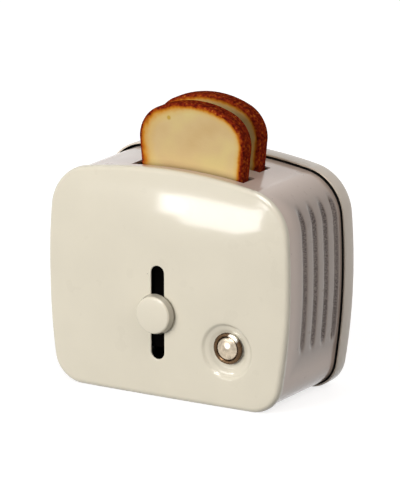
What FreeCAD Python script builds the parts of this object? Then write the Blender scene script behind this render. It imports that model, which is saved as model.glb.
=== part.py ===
import FreeCAD
import Part
import math
import os

# Toy toaster of pressed and enamelled tin, in millimetres.
# +X is to the right as seen from the front, +Y runs from the lever to the back, +Z is up.
# The origin is the middle of the flat underside.

# Sheet and housing
sheet = 0.5
panel_width = 64.6
panel_height = 54.2
housing_depth = 32.4
crown_radius = 127.7
side_radius = 147.0
widest_level = 30.0
shoulder_radius = 11.4
foot_radius = 7.6
dome_radius = 900.0
pan_edge_radius = 1.3
front_flange_depth = 2.9
rear_flange_depth = 5.4
rear_stand_off = 0.45
band_lap = 0.8

# Flutes pressed into both sides of the band
flute_count = 4
flute_pitch = 4.8
flutes_y = 1.35
flute_width = 2.2
flute_depth = 0.6
flute_bottom = 13.6
flute_top_drop = 7.6

# Bread slices
bread_width = 28.0
bread_height = 31.7
bread_thickness = 4.2
bread_crown_radius = 23.0
bread_shoulder_radius = 8.0
bread_waist = 1.0
bread_waist_drop = 10.0
bread_foot_radius = 1.5
bread_edge_radius = 0.4

# Bread slots in the top of the band, and how far each slice stands to the right in its slot
slot_play_x = 1.0
slot_play_y = 0.5
slot_corner = 0.4
slot_bridge = 4.65
slots_y = -2.53
front_slot_x = 2.6
slot_stagger = 1.5
bread_offset_x = 0.7

# Lever, its slot and the plate behind it
lever_x = -1.65
lever_level = 20.3
lever_rise = 9.5
lever_drop = 9.2
stem_diameter = 3.0
stem_side_play = 0.25
stem_end_play = 0.3
slot_edge_radius = 0.15
knob_diameter = 9.6
knob_rim = 1.5
knob_dome = 0.6
knob_edge_radius = 0.55
knob_gap = 0.4
knob_bore_depth = 1.2
stem_tail_diameter = 1.8
stem_head_diameter = 3.2
stem_head_height = 0.6
stem_head_rounding = 0.4
washer_gap = 0.35
washer_diameter = 7.0
washer_thickness = 0.4
strip = 0.6
slide_width = 12.0
slide_floor_gap = 2.3
slide_corner = 2.0
bend_radius = 0.5

# Bread tray and what guides it
tray_headroom = 7.2
tray_overhang = 2.0
tray_lip = 3.0
tray_lip_gap = 0.4
rod_diameter = 2.0
rod_span = 26.0
bush_clearance = 0.06
bush_wall = 0.74
bush_flange_overhang = 0.6
bush_flange = 0.5
bush_length = 4.4
collar_wall = 1.2
collar_height = 1.8
collar_gap = 0.5
strap_margin = 0.5
strap_overhang = 5.0
boss_wall = 0.9
boss_gap = 1.1

# Underside
underside_opening = 36.0
base_lap = 4.7
base_plate_gap = 0.2
base_plate_corner = 2.0
base_rivet_pitch = 15.0

# Rivets and clips
rivet_diameter = 1.6
rivet_head_diameter = 2.6
rivet_head_height = 0.5
rivet_head_rounding = 0.35
tray_rivet_pitch = 8.0
clip_width = 5.0
clip_reach = 4.0
clip_foot = 3.0
clip_sheet = 0.4
clip_side_level = 30.0
clip_top_x = 16.0

# Dial stud in its pressed dimple
dial_x = 16.75
dial_level = 14.4
dial_diameter = 7.4
dial_height = 1.5
dial_ring_width = 1.2
dial_ring_lip = 0.45
dial_boss_diameter = 5.0
dial_boss_rise = 0.35
dial_boss_edge = 0.5
dial_gap = 0.12
dimple_margin = 2.8
dimple_drop = 0.6
dimple_depth = 1.3
dimple_slope = 1.2
dimple_fillet = 0.7
dimple_rim_fillet = 0.6
post_diameter = 2.0
post_clearance = 0.06
post_socket = 0.8
post_head_diameter = 3.0
post_head_height = 0.5
post_head_rounding = 0.35
dial_washer_diameter = 4.6
dial_washer_thickness = 0.4

# Places and sizes that follow from the ones above
front_y = -housing_depth / 2
rear_y = housing_depth / 2
front_flange_y = front_y + front_flange_depth
rear_flange_y = rear_y - rear_flange_depth
band_front = front_flange_y - band_lap
band_rear = -band_front
band_inset = sheet
core_inset = 2 * sheet
dome_level = panel_height / 2
flute_top = panel_height - flute_top_drop
slot_length = bread_width + 2 * slot_play_x
slot_width = bread_thickness + 2 * slot_play_y
slot_pitch = slot_width + slot_bridge
stem_end_room = stem_diameter / 2 + stem_end_play
lever_slot_width = stem_diameter + 2 * stem_side_play
lever_slot_bottom = lever_level - lever_drop - stem_end_room
lever_slot_top = lever_level + lever_rise + stem_end_room
washer_y = front_y + sheet + washer_gap
slide_y = washer_y + washer_thickness
slide_bottom = sheet + lever_drop + slide_floor_gap
tray_level = panel_height - tray_headroom - lever_rise
tray_bottom = tray_level - strip
rods_x = front_slot_x - slot_stagger / 2
rod_places = [rods_x - rod_span / 2, rods_x + rod_span / 2]
rod_bore = rod_diameter + 2 * bush_clearance
bush_diameter = rod_bore + 2 * bush_wall
boss_bottom = tray_level + lever_rise + bush_flange + boss_gap
base_plate_width = underside_opening + 2 * base_lap
collar_diameter = rod_diameter + 2 * collar_wall
dimple_radius = dial_diameter / 2 + dimple_margin
dimple_floor_y = front_y + dimple_depth
dial_back_y = dimple_floor_y + sheet + dial_gap
across = FreeCAD.Vector(1, 0, 0)
rearward = FreeCAD.Vector(0, 1, 0)
upward = FreeCAD.Vector(0, 0, 1)


def vec(x, y, z):
    return FreeCAD.Vector(x, y, z)


def box(x0, x1, y0, y1, z0, z1):
    return Part.makeBox(x1 - x0, y1 - y0, z1 - z0, vec(x0, y0, z0))


def cylinder(diameter, height, start, direction):
    return Part.makeCylinder(diameter / 2, height, start, direction)


def line(start, end):
    return Part.makeLine(start, end)


def arc_about(centre, radius, start, end):
    """Arc in the plane y = 0 from start to end, the short way round the centre."""
    middle = (start - centre).normalize() + (end - centre).normalize()
    middle = centre + middle.normalize() * radius
    return Part.Arc(start, middle, end).toShape()


def mirrored(point):
    return vec(-point.x, point.y, point.z)


def both_sides(shape):
    return shape.fuse(shape.mirror(vec(0, 0, 0), across))


def edges_inside(solid, x_range, y_range, z_range):
    """Edges whose bounds lie within the three ranges."""
    found = []
    for edge in solid.Edges:
        bounds = edge.BoundBox
        in_x = x_range[0] < bounds.XMin and bounds.XMax < x_range[1]
        in_y = y_range[0] < bounds.YMin and bounds.YMax < y_range[1]
        in_z = z_range[0] < bounds.ZMin and bounds.ZMax < z_range[1]
        if in_x and in_y and in_z:
            found.append(edge)
    return found


def near(value, reach):
    return (value - reach, value + reach)


def round_end(disc, end, radius):
    """Round the rim of a disc at the end that faces the point."""
    rims = [e for e in disc.Edges if e.Closed]
    rims.sort(key=lambda e: (e.CenterOfMass - end).Length)
    return disc.makeFillet(radius, rims[:1])


def button_head(diameter, height, rounding, start, direction):
    """Low head with its outer edge rounded off."""
    head = cylinder(diameter, height, start, direction)
    return round_end(head, start + direction * height, rounding)


def rivet_head(start, direction):
    return button_head(rivet_head_diameter, rivet_head_height, rivet_head_rounding, start, direction)


def ring(outer, inner, height, start, direction):
    return cylinder(outer, height, start, direction).cut(cylinder(inner, height, start, direction))


# Outline and blocks of the housing


def housing_centres():
    """Centres of the arcs of the housing's outline: crown, right side and right shoulder."""
    crown = vec(0, 0, panel_height - crown_radius)
    side = vec(panel_width / 2 - side_radius, 0, widest_level)
    to_crown = crown_radius - shoulder_radius
    to_side = side_radius - shoulder_radius
    link = side - crown
    span = link.Length
    along = (to_crown ** 2 - to_side ** 2 + span ** 2) / (2 * span)
    off = math.sqrt(to_crown ** 2 - along ** 2)
    unit = link.normalize()
    normal = vec(-unit.z, 0, unit.x)
    if normal.x < 0:
        normal = -normal
    return crown, side, crown + unit * along + normal * off


def foot_centre(level):
    """Centre of the right foot's arc, at this level."""
    side = housing_centres()[1]
    reach = side_radius - foot_radius
    return vec(side.x + math.sqrt(reach ** 2 - (level - side.z) ** 2), 0, level)


def housing_outline(inset, base):
    """Closed outline of the housing, set in by inset all round, with its flat bottom at base."""
    crown, side, shoulder = housing_centres()
    foot = foot_centre(base + foot_radius - inset)
    crown_end = crown + (shoulder - crown).normalize() * (crown_radius - inset)
    side_top = side + (shoulder - side).normalize() * (side_radius - inset)
    side_bottom = side + (foot - side).normalize() * (side_radius - inset)
    base_end = vec(foot.x, 0, base)
    crown_top = vec(0, 0, panel_height - inset)
    right = [
        (foot, foot_radius - inset, base_end, side_bottom),
        (side, side_radius - inset, side_bottom, side_top),
        (shoulder, shoulder_radius - inset, side_top, crown_end),
    ]
    edges = [line(mirrored(base_end), base_end)]
    for centre, radius, start, end in right:
        edges.append(arc_about(centre, radius, start, end))
    edges.append(Part.Arc(crown_end, crown_top, mirrored(crown_end)).toShape())
    for centre, radius, start, end in reversed(right):
        edges.append(arc_about(mirrored(centre), radius, mirrored(end), mirrored(start)))
    return Part.Wire(edges)


def housing_block(inset, base, y0, y1):
    face = Part.Face(housing_outline(inset, base))
    face.translate(vec(0, y0, 0))
    return face.extrude(vec(0, y1 - y0, 0))


def band_block(inset, y0, y1):
    return housing_block(inset, inset, y0, y1)


def domed_block(side, inset, base, cover, depth):
    """Block under a gently domed face, cover below the face, as deep as depth from its crest."""
    outer = side * housing_depth / 2
    inner = outer - side * depth
    block = housing_block(inset, base, min(outer, inner), max(outer, inner))
    centre = vec(0, outer - side * dome_radius, dome_level)
    return block.common(Part.makeSphere(dome_radius - cover, centre))


# Front and rear pans


def outline_edges(solid, side, depth):
    """Edges round the domed face of a block of this depth."""
    middle = (housing_depth - depth) / 2
    boxes = [(edge, edge.BoundBox) for edge in solid.Edges]
    return [edge for edge, bounds in boxes if min(side * bounds.YMin, side * bounds.YMax) > middle]


def pressed_pan(side, inset, depth):
    """Shallow pan with a domed face, a rounded edge and a flange turned towards the band."""
    outer = domed_block(side, inset, 0, 0, depth)
    outer = outer.makeFillet(pan_edge_radius, outline_edges(outer, side, depth))
    inner = domed_block(side, inset + sheet, sheet, sheet, depth)
    inner = inner.makeFillet(pan_edge_radius - sheet, outline_edges(inner, side, depth))
    return outer.cut(inner)


def upright_slot(width, low, high, x, y0, y1):
    """Block for an upright slot with round ends, from low to high."""
    radius = width / 2
    block = box(x - radius, x + radius, y0, y1, low + radius, high - radius)
    for level in (low + radius, high - radius):
        block = block.fuse(cylinder(width, y1 - y0, vec(x, y0, level), rearward))
    return block.removeSplitter()


def dimple_tool(grow):
    """Round press tool for the dimple, grown by grow for the back of the sheet."""
    mouth = dimple_radius + grow
    centre = vec(dial_x, front_y, dial_level - dimple_drop)
    height = dimple_depth + grow
    cone = Part.makeCone(mouth, mouth - dimple_slope, height, centre, rearward)
    return round_end(cone, centre + rearward * height, dimple_fillet + grow)


def front_panel():
    """Front pan with the lever slot and the dimple for the dial."""
    panel = pressed_pan(-1, 0, front_flange_depth)
    in_front = box(0, panel_width, front_y, front_y + sheet, 0, panel_height)
    panel = panel.fuse(dimple_tool(sheet).cut(in_front))
    panel = panel.cut(dimple_tool(0)).removeSplitter()
    reach = dimple_radius + sheet
    upright = near(dial_level - dimple_drop, reach)
    rim = edges_inside(panel, near(dial_x, reach), near(front_y, sheet), upright)
    panel = panel.makeFillet(dimple_rim_fillet, rim)
    post_hole = post_diameter + 2 * post_clearance
    panel = panel.cut(cylinder(post_hole, 2 * dimple_depth, vec(dial_x, front_y, dial_level), rearward))
    slot = upright_slot(lever_slot_width, lever_slot_bottom, lever_slot_top, lever_x, front_y, slide_y)
    panel = panel.cut(slot)
    middle = (lever_slot_bottom + lever_slot_top) / 2
    reach = lever_slot_top - middle + slot_edge_radius
    rim = edges_inside(panel, near(lever_x, lever_slot_width), near(front_y, sheet / 2), near(middle, reach))
    return panel.makeFillet(slot_edge_radius, rim)


def rear_panel():
    return pressed_pan(1, -rear_stand_off, rear_flange_depth)


# Band with its flutes and bread slots


def swept_disc(radius, start, axis, turn):
    """Part of a torus: a disc at start swept up round the front-to-back axis by turn."""
    disc = Part.Face(Part.Wire(Part.makeCircle(radius, start, (start - axis).cross(rearward))))
    return disc.revolve(axis, -rearward, math.degrees(turn))


def flute_tool(y, radius, rise):
    """Round-bottomed groove tool up the right side and into the shoulder, with ball ends."""
    crown, side, shoulder = housing_centres()
    side_track = side_radius - band_inset + rise
    shoulder_track = shoulder_radius - band_inset + rise
    drop = math.asin((widest_level - flute_bottom) / side_track)
    join = math.atan2(shoulder.z - side.z, shoulder.x - side.x)
    lift = math.asin((flute_top - shoulder.z) / shoulder_track)
    side_axis = vec(side.x, y, side.z)
    shoulder_axis = vec(shoulder.x, y, shoulder.z)
    start = side_axis + vec(math.cos(drop), 0, -math.sin(drop)) * side_track
    knee = side_axis + vec(math.cos(join), 0, math.sin(join)) * side_track
    end = shoulder_axis + vec(math.cos(lift), 0, math.sin(lift)) * shoulder_track
    tool = swept_disc(radius, start, side_axis, drop + join)
    tool = tool.fuse(swept_disc(radius, knee, shoulder_axis, lift - join))
    for tip in (start, end):
        tool = tool.fuse(Part.makeSphere(radius, tip))
    return tool


def flute_places():
    first = flutes_y - flute_pitch * (flute_count - 1) / 2
    return [first + flute_pitch * index for index in range(flute_count)]


def slot_places():
    """Middle of each bread slot in plan, front slot first."""
    front = (front_slot_x, slots_y - slot_pitch / 2)
    rear = (front_slot_x - slot_stagger, slots_y + slot_pitch / 2)
    return [front, rear]


def bread_slot(x, y):
    half_length = slot_length / 2
    half_width = slot_width / 2
    block = box(x - half_length, x + half_length, y - half_width, y + half_width, widest_level, panel_height)
    upright = [e for e in block.Edges if e.BoundBox.ZLength > slot_width]
    return block.makeFillet(slot_corner, upright)


def body_band():
    """Wrap-round band, open in the middle of its underside, with flutes and two bread slots."""
    groove_radius = (flute_width ** 2 / 4 + flute_depth ** 2) / (2 * flute_depth)
    rise = groove_radius - flute_depth
    outer = band_block(band_inset, band_front, band_rear)
    band = outer.cut(band_block(core_inset, band_front, band_rear))
    for y in flute_places():
        back = both_sides(flute_tool(y, groove_radius + sheet, rise))
        band = band.fuse(back.common(outer))
        band = band.cut(both_sides(flute_tool(y, groove_radius, rise)))
    for x, y in slot_places():
        band = band.cut(bread_slot(x, y))
    half = underside_opening / 2
    band = band.cut(box(-half, half, band_front, band_rear, 0, core_inset + sheet))
    for x in rod_places:
        around = collar_diameter + 2 * collar_gap
        band = band.cut(cylinder(around, core_inset + sheet, vec(x, slots_y, 0), upward))
    for x, y in base_rivet_places():
        band = band.cut(cylinder(rivet_diameter, core_inset + sheet, vec(x, y, 0), upward))
    return band


# Underside and the clips that hold the rear pan


def base_rivet_places():
    """Middle of each rivet, in the middle of the flat lips beside the opening."""
    middle = (underside_opening / 2 + foot_centre(foot_radius).x) / 2
    half = base_rivet_pitch / 2
    return [(x, y) for x in (-middle, middle) for y in (-half, half)]


def countersunk_shank(x, y):
    """Rivet shank through plate and band, with a head let into the plate."""
    head = Part.makeCone(rivet_head_diameter / 2, rivet_diameter / 2, sheet, vec(x, y, 0), upward)
    return head.fuse(cylinder(rivet_diameter, core_inset, vec(x, y, 0), upward))


def base_plate():
    """Flat plate under the band's turned-in edges, flush with the rims of both pans."""
    half = base_plate_width / 2
    plate = box(-half, half, front_flange_y + base_plate_gap, rear_flange_y - base_plate_gap, 0, sheet)
    corners = [e for e in plate.Edges if e.BoundBox.ZLength > sheet / 2]
    plate = plate.makeFillet(base_plate_corner, corners)
    for x, y in base_rivet_places():
        plate = plate.cut(countersunk_shank(x, y))
    for x in rod_places:
        plate = plate.cut(cylinder(rod_diameter, sheet, vec(x, slots_y, 0), upward))
    return plate


def base_rivets():
    rivets = []
    for x, y in base_rivet_places():
        head = rivet_head(vec(x, y, core_inset), upward)
        rivets.append(countersunk_shank(x, y).fuse(head).removeSplitter())
    return Part.makeCompound(rivets)


def clip(region):
    """Angle clip in a region: an arm along the inside of the band and a foot on the rear pan."""
    start = band_rear - clip_reach
    depth = rear_y - start
    layer = band_block(core_inset, start, rear_y).cut(band_block(core_inset + clip_sheet, start, rear_y))
    inside = domed_block(1, core_inset, core_inset, sheet, depth)
    foot = inside.cut(domed_block(1, core_inset, core_inset, sheet + clip_sheet, depth))
    arm = layer.common(inside)
    return arm.fuse(foot).common(region).removeSplitter()


def rear_clips():
    half = clip_width / 2
    start = band_rear - clip_reach
    side_x = panel_width / 2 - core_inset - clip_foot
    top_z = panel_height - core_inset - clip_foot
    clips = []
    for side in (-1, 1):
        x0, x1 = sorted((side * side_x, side * panel_width / 2))
        clips.append(clip(box(x0, x1, start, rear_y, clip_side_level - half, clip_side_level + half)))
        x0, x1 = (side * clip_top_x - half, side * clip_top_x + half)
        clips.append(clip(box(x0, x1, start, rear_y, top_z, panel_height)))
    return Part.makeCompound(clips)


# Guide rods and what holds them


def crown_underside(x):
    """Height of the band's underside at x, between the shoulders."""
    crown = housing_centres()[0]
    return crown.z + math.sqrt((crown_radius - core_inset) ** 2 - x ** 2)


def rod_top():
    return min(crown_underside(x) for x in rod_places) - strip


def guide_rod(x):
    return cylinder(rod_diameter, rod_top(), vec(x, slots_y, 0), upward)


def top_strap():
    """Strip under the bridge between the bread slots, with a socket boss for each guide rod."""
    y0 = slots_y - slot_bridge / 2 + strap_margin
    y1 = slots_y + slot_bridge / 2 - strap_margin
    x0 = rod_places[0] - strap_overhang
    x1 = rod_places[1] + strap_overhang
    inside = band_block(core_inset, y0, y1)
    layer = inside.cut(band_block(core_inset + strip, y0, y1))
    strap = layer.common(box(x0, x1, y0, y1, dome_level, panel_height))
    for x in rod_places:
        start = vec(x, slots_y, boss_bottom)
        boss = cylinder(rod_diameter + 2 * boss_wall, panel_height - boss_bottom, start, upward)
        strap = strap.fuse(boss.common(inside))
    for x in rod_places:
        strap = strap.cut(guide_rod(x))
    return strap.removeSplitter()


def rod_collars():
    collars = []
    for x in rod_places:
        start = vec(x, slots_y, sheet)
        collars.append(ring(collar_diameter, rod_diameter, collar_height, start, upward))
    return Part.makeCompound(collars)


# Lever


def lever_knob():
    """Domed button with a rounded rim and a blind bore for the stem."""
    back = front_y - knob_gap
    crest = back - knob_rim - knob_dome
    height = knob_rim + knob_dome
    ball = (knob_diameter ** 2 / 4 + knob_dome ** 2) / (2 * knob_dome)
    knob = cylinder(knob_diameter, height, vec(lever_x, crest, lever_level), rearward)
    knob = knob.common(Part.makeSphere(ball, vec(lever_x, crest + ball, lever_level)))
    rims = [e for e in knob.Edges if e.Closed and e.BoundBox.XLength > knob_diameter / 2]
    knob = knob.makeFillet(knob_edge_radius, rims)
    start = vec(lever_x, back - knob_bore_depth, lever_level)
    return knob.cut(cylinder(stem_diameter, knob_bore_depth, start, rearward))


def lever_stem():
    """Stem from the knob to the slide plate, with a thinner tail peened over behind the plate."""
    tip = front_y - knob_gap - knob_bore_depth
    stem = cylinder(stem_diameter, slide_y - tip, vec(lever_x, tip, lever_level), rearward)
    tail = cylinder(stem_tail_diameter, strip, vec(lever_x, slide_y, lever_level), rearward)
    start = vec(lever_x, slide_y + strip, lever_level)
    head = button_head(stem_head_diameter, stem_head_height, stem_head_rounding, start, rearward)
    return stem.fuse(tail).fuse(head).removeSplitter()


def friction_washer():
    start = vec(lever_x, washer_y, lever_level)
    return ring(washer_diameter, stem_diameter, washer_thickness, start, rearward)


# Slide plate and bread tray


def tray_rivet_places():
    return [lever_x - tray_rivet_pitch / 2, lever_x + tray_rivet_pitch / 2]


def slide_plate():
    """Plate behind the lever slot, bent back at the top to carry the tray."""
    x0 = lever_x - slide_width / 2
    x1 = lever_x + slide_width / 2
    wide = near(lever_x, slide_width)
    inner_y = slide_y + strip
    under_tab = tray_bottom - strip
    tab_end = slots_y + rivet_head_diameter
    outer = box(x0, x1, slide_y, tab_end, slide_bottom, tray_bottom)
    bend = edges_inside(outer, wide, near(slide_y, strip), near(tray_bottom, strip))
    outer = outer.makeFillet(bend_radius + strip, bend)
    inner = box(x0, x1, inner_y, tab_end, slide_bottom, under_tab)
    bend = edges_inside(inner, wide, near(inner_y, strip), near(under_tab, strip))
    inner = inner.makeFillet(bend_radius, bend)
    plate = outer.cut(inner)
    low_edges = edges_inside(plate, wide, near(slide_y, 2 * strip), near(slide_bottom, strip))
    feet = [edge for edge in low_edges if edge.BoundBox.YLength > strip / 2]
    plate = plate.makeFillet(slide_corner, feet)
    plate = plate.cut(cylinder(stem_tail_diameter, strip, vec(lever_x, slide_y, lever_level), rearward))
    for x in tray_rivet_places():
        plate = plate.cut(cylinder(rivet_diameter, strip, vec(x, slots_y, under_tab), upward))
    return plate


def bread_places():
    """Middle of each slice in plan, front slice first."""
    return [(x + bread_offset_x, y) for x, y in slot_places()]


def round_bends(block, level, radius):
    """Round the two lower edges of a block that run from side to side."""
    low_edges = [edge for edge in block.Edges if edge.BoundBox.ZMax < level + strip]
    bends = [edge for edge in low_edges if edge.BoundBox.XLength > bread_width / 2]
    return block.makeFillet(radius, bends)


def bread_tray():
    """Channel that carries both slices, with a lip turned up in front and behind."""
    places = bread_places()
    half_width = bread_width / 2 + tray_overhang
    half_depth = bread_thickness / 2 + tray_lip_gap
    x0 = min(x for x, y in places) - half_width
    x1 = max(x for x, y in places) + half_width
    y0 = min(y for x, y in places) - half_depth
    y1 = max(y for x, y in places) + half_depth
    top = tray_level + tray_lip
    outer = box(x0, x1, y0 - strip, y1 + strip, tray_bottom, top)
    outer = round_bends(outer, tray_bottom, bend_radius + strip)
    inner = round_bends(box(x0, x1, y0, y1, tray_level, top), tray_level, bend_radius)
    tray = outer.cut(inner)
    for x in rod_places:
        tray = tray.cut(cylinder(bush_diameter, strip, vec(x, slots_y, tray_bottom), upward))
    for x in tray_rivet_places():
        tray = tray.cut(cylinder(rivet_diameter, strip, vec(x, slots_y, tray_bottom), upward))
    return tray


def tray_rivets():
    rivets = []
    low = tray_bottom - strip
    for x in tray_rivet_places():
        rivet = cylinder(rivet_diameter, tray_level - low, vec(x, slots_y, low), upward)
        for level, direction in ((tray_level, upward), (low, -upward)):
            rivet = rivet.fuse(rivet_head(vec(x, slots_y, level), direction))
        rivets.append(rivet.removeSplitter())
    return Part.makeCompound(rivets)


def tray_bush(x):
    """Flanged bush that hangs in the tray and runs on a guide rod."""
    start = vec(x, slots_y, tray_level + bush_flange - bush_length)
    flange_diameter = bush_diameter + 2 * bush_flange_overhang
    flange = cylinder(flange_diameter, bush_flange, vec(x, slots_y, tray_level), upward)
    bush = flange.fuse(cylinder(bush_diameter, bush_length, start, upward)).removeSplitter()
    return bush.cut(cylinder(rod_bore, bush_length, start, upward))


def tray_bushes():
    return Part.makeCompound([tray_bush(x) for x in rod_places])


# Dial stud


def dial_cap():
    """Stud cap: a rolled outer ring round a low domed boss, with a socket for the post."""
    back = dimple_floor_y - dial_gap
    crest = back - dial_height
    hollow = dial_diameter - 2 * dial_ring_width
    recess = dial_height / 2
    face = vec(dial_x, crest, dial_level)
    rim = cylinder(dial_diameter, dial_height, face, rearward)
    rim = round_end(rim, face, dial_ring_width / 2)
    rim = rim.cut(cylinder(hollow, recess, face, rearward))
    crest_edges = edges_inside(rim, near(dial_x, hollow), near(crest, recess / 2), near(dial_level, hollow))
    lip = [edge for edge in crest_edges if edge.Closed and edge.BoundBox.XLength < hollow + dial_ring_lip]
    rim = rim.makeFillet(dial_ring_lip, lip)
    start = face - rearward * dial_boss_rise
    boss = cylinder(dial_boss_diameter, recess + dial_boss_rise, start, rearward)
    boss = round_end(boss, start, dial_boss_edge)
    cap = rim.fuse(boss).removeSplitter()
    socket_start = vec(dial_x, back - post_socket, dial_level)
    return cap.cut(cylinder(post_diameter, post_socket, socket_start, rearward))


def dial_post():
    """Post from the cap through the panel and washer, peened over behind."""
    start = dimple_floor_y - dial_gap - post_socket
    end = dial_back_y + dial_washer_thickness
    post = cylinder(post_diameter, end - start, vec(dial_x, start, dial_level), rearward)
    head_start = vec(dial_x, end, dial_level)
    head = button_head(post_head_diameter, post_head_height, post_head_rounding, head_start, rearward)
    return post.fuse(head).removeSplitter()


def dial_washer():
    start = vec(dial_x, dial_back_y, dial_level)
    return ring(dial_washer_diameter, post_diameter, dial_washer_thickness, start, rearward)


# Bread


def bread_outline(x, y):
    """Loaf outline: domed top, round shoulders, sides drawn in to a waist, small round feet."""
    half = bread_width / 2
    waist_half = half - bread_waist
    top = tray_level + bread_height
    crown = vec(x, y, top - bread_crown_radius)
    reach = bread_crown_radius - bread_shoulder_radius
    run = half - bread_shoulder_radius
    shoulder = vec(x + run, y, crown.z + math.sqrt(reach ** 2 - run ** 2))
    crown_end = crown + (shoulder - crown).normalize() * bread_crown_radius
    side_top = vec(x + half, y, shoulder.z)
    waist = vec(x + waist_half, y, shoulder.z - bread_waist_drop)
    foot = vec(x + waist_half - bread_foot_radius, y, tray_level + bread_foot_radius)
    foot_side = foot + across * bread_foot_radius
    foot_end = foot - upward * bread_foot_radius

    def flip(point):
        return vec(2 * x - point.x, y, point.z)

    return Part.Wire([
        line(flip(foot_end), foot_end),
        arc_about(foot, bread_foot_radius, foot_end, foot_side),
        line(foot_side, waist),
        line(waist, side_top),
        arc_about(shoulder, bread_shoulder_radius, side_top, crown_end),
        Part.Arc(crown_end, vec(x, y, top), flip(crown_end)).toShape(),
        arc_about(flip(shoulder), bread_shoulder_radius, flip(crown_end), flip(side_top)),
        line(flip(side_top), flip(waist)),
        line(flip(waist), flip(foot_side)),
        arc_about(flip(foot), bread_foot_radius, flip(foot_side), flip(foot_end)),
    ])


def bread_slice(place):
    x, y = place
    face = Part.Face(bread_outline(x, y - bread_thickness / 2))
    loaf = face.extrude(vec(0, bread_thickness, 0))
    rims = [e for e in loaf.Edges if e.BoundBox.YLength < bread_thickness / 2]
    return loaf.makeFillet(bread_edge_radius, rims)


def build():
    front_place, rear_place = bread_places()
    return {
        "front_panel": front_panel(),
        "body_band": body_band(),
        "rear_panel": rear_panel(),
        "base_plate": base_plate(),
        "base_rivets": base_rivets(),
        "rear_clips": rear_clips(),
        "top_strap": top_strap(),
        "guide_rod_left": guide_rod(rod_places[0]),
        "guide_rod_right": guide_rod(rod_places[1]),
        "rod_collars": rod_collars(),
        "lever_knob": lever_knob(),
        "lever_stem": lever_stem(),
        "friction_washer": friction_washer(),
        "slide_plate": slide_plate(),
        "bread_tray": bread_tray(),
        "tray_rivets": tray_rivets(),
        "tray_bushes": tray_bushes(),
        "dial_cap": dial_cap(),
        "dial_post": dial_post(),
        "dial_washer": dial_washer(),
        "front_slice": bread_slice(front_place),
        "rear_slice": bread_slice(rear_place),
    }


os.makedirs("parts", exist_ok=True)
for name, shape in build().items():
    shape.exportStep("parts/" + name + ".step")
    print(name, len(shape.Solids), round(shape.Volume, 2), shape.isValid())
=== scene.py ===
"""Looks of the toy toaster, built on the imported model.

Every object is in metres, in the row frame. The sizes below are in millimetres, and a mesh
is scaled when it is made. Only the lamps', the floor's and the camera's clipping are in metres.
"""

import math

import bmesh
import bpy
import numpy as np
from mathutils import Matrix, Vector
from mathutils.geometry import delaunay_2d_cdt

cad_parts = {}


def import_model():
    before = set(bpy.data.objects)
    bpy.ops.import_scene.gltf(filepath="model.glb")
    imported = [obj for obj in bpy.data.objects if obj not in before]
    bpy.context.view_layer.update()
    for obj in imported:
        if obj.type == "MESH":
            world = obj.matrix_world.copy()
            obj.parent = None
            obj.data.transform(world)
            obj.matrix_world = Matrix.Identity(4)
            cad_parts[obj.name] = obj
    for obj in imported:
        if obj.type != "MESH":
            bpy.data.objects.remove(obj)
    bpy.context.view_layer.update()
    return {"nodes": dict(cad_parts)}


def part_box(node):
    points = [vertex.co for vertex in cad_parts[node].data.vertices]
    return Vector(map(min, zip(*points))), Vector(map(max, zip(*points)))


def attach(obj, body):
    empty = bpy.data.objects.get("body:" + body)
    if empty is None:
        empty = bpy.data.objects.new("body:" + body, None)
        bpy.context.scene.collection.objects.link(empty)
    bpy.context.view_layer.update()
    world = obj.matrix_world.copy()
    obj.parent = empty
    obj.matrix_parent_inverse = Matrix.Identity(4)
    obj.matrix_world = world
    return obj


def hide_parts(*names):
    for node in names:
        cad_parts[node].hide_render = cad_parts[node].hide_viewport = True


MM = 0.001
SAME = 1e-6
SHARP_ANGLE = math.radians(40)
KEPT_SHARP_ANGLE = math.radians(30)
ROUND_STEPS = 6

# Housing outline, as arcs that meet smoothly
SHEET = 0.5
CROWN_RADIUS = 127.7
SIDE_RADIUS = 147.0
SHOULDER_RADIUS = 11.4
FOOT_RADIUS = 7.6
WIDEST_LEVEL = 30.0
ARC_STEP = 0.9

# Pans. The front one's face falls away towards its edges, but not where the lever's plate comes down.
DOME_RADIUS = 900.0
PILLOW_WIDTH = 15.0
PILLOW_DEPTH = 0.9
PILLOW_START = 4.0
PILLOW_FULL = 24.0
PAN_EDGE_RADIUS = 1.3
PAN_EDGE_STEPS = 8
RAW_EDGE_RADIUS = 0.12
FACE_SPACING = 1.5

# Dimple round the dial, as radius and depth from its rim inwards
DIMPLE_STEPS = ((6.9, 0.0), (6.6, 0.06), (6.35, 0.28), (6.1, 0.52), (5.8, 0.66),
                (5.3, 0.78), (4.9, 0.92), (4.6, 1.10), (4.3, 1.24), (4.0, 1.30))
DIMPLE_DROP = 0.6

# Lever slot
LEVER_SLOT_WIDTH = 3.5
LEVER_SLOT_END_PLAY = 0.3
LEVER_TRAVEL_DOWN = 9.2
LEVER_TRAVEL_UP = 9.5
STEM_RADIUS = 1.5
SLOT_EDGE_RADIUS = 0.25

# Band
LIP_OPENING = 36.0
SLOT_PLAY_X = 1.0
SLOT_PLAY_Y = 0.5
SLICE_OFFSET_X = 0.7
BAND_STEP_Y = 0.8
# Where the band's outer skin turns to the dark inside sheet, just before the rear pan's flange, as painted
# shade in the gap
GAP_SHADE_LAP = -0.3
FLUTE_COUNT = 4
FLUTE_PITCH = 4.8
FLUTES_Y = 1.35
FLUTE_HALF_WIDTH = 1.35
FLUTE_DEPTH = 0.6
FLUTE_BOTTOM = 13.6
FLUTE_TOP = 46.6
FLUTE_FADE = 3.0
FLUTE_FADE_START = 0.35
FLUTE_TOP_STRETCH = 1.6
FLUTE_STEPS = 12
FLUTE_ZONE_MARK = 0.2
FLUTE_ZONE_FOOT = 1.0
SIDE_COSINE = 0.2

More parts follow.
